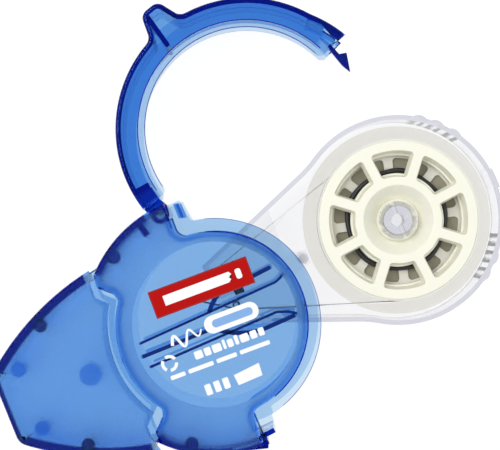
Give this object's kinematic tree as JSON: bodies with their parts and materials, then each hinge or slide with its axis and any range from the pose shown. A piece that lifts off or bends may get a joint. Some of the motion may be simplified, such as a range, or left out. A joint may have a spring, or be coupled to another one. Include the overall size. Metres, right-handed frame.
{
  "type": "correction tape roller",
  "caption": "Refillable correction tape roller in translucent blue plastic with a hinged refill door, a pull-off nose cap and a clear cartridge of coaxial reels.",
  "frame": {"origin": "centre of the housing's round reel chamber, on the rear face that the roller lies on", "axes": "+Z out of the label side, +X along the housing away from the nose, +Y towards the door's hinge"},
  "size_m": [0.1273, 0.1062, 0.018],
  "materials": {
    "shell_blue": "translucent, finely frosted faces and clear edges",
    "door_blue": "translucent, polished",
    "cap_blue": "translucent, finely frosted",
    "pin_blue": "translucent, dark in the thickness",
    "pin_steel": "plain drawn wire",
    "label_print": "clear film with red and white print, no lettering",
    "tray_clear": "clear polystyrene",
    "cover_clear": "clear polystyrene",
    "rivet_white": "white moulded",
    "tip_white": "white moulded",
    "sleeve_white": "white moulded, slippery",
    "supply_cream": "cream moulded",
    "take_up_cream": "cream moulded, satin",
    "flange_grey": "greyish translucent",
    "tape_white": "white correction film on carrier",
    "carrier_tape": "used glassine carrier",
    "ring_rubber": "black, satin"
  },
  "bodies": {
    "housing": {"rear_shell": "shell_blue", "front_shell": "shell_blue", "shell_pins": "pin_blue", "hinge_pin": "pin_steel", "front_label": "label_print"},
    "door": {"door_rear": "door_blue", "door_front": "door_blue"},
    "cap": {"cap_rear": "cap_blue", "cap_front": "cap_blue", "cap_pins": "pin_blue"},
    "refill": {"refill_tray": "tray_clear", "nose_cover": "cover_clear", "cover_rivet": "rivet_white", "applicator_tip": "tip_white", "guide_sleeves": "sleeve_white", "tape_run_out": "tape_white", "tape_run_back": "carrier_tape"},
    "supply": {"supply_reel": "supply_cream", "supply_tape": "tape_white", "clutch_ring": "ring_rubber"},
    "take_up": {"take_up_reel": "take_up_cream", "take_up_flange": "flange_grey", "take_up_tape": "carrier_tape"}
  },
  "joints": [
    {"name": "refill_slide", "type": "slide", "parent": "housing", "child": "refill", "axis": [-0.9914, -0.131, 0], "range_m": [0, 0.04963]},
    {"name": "door_hinge", "type": "hinge", "parent": "housing", "child": "door", "pos_m": [-0.0023, 0.0285, 0.009], "axis": [0, 0, 1], "range_deg": [-108.6, 0]},
    {"name": "cap_slide", "type": "slide", "parent": "housing", "child": "cap", "axis": [-1, 0, 0], "range_m": [0, 0.03]},
    {"name": "supply_spin", "type": "hinge", "parent": "refill", "child": "supply", "pos_m": [0.0492, 0.0065, 0.0065], "axis": [0, 0, 1], "continuous": true},
    {"name": "take_up_spin", "type": "hinge", "parent": "refill", "child": "take_up", "pos_m": [0.0492, 0.0065, 0.0125], "axis": [0, 0, 1], "continuous": true}
  ],
  "couplings": [
    {"joint": "door_hinge", "follows": "refill_slide", "rad_per_m": -38.123},
    {"joint": "take_up_spin", "follows": "supply_spin", "ratio": 0.9319}
  ]
}
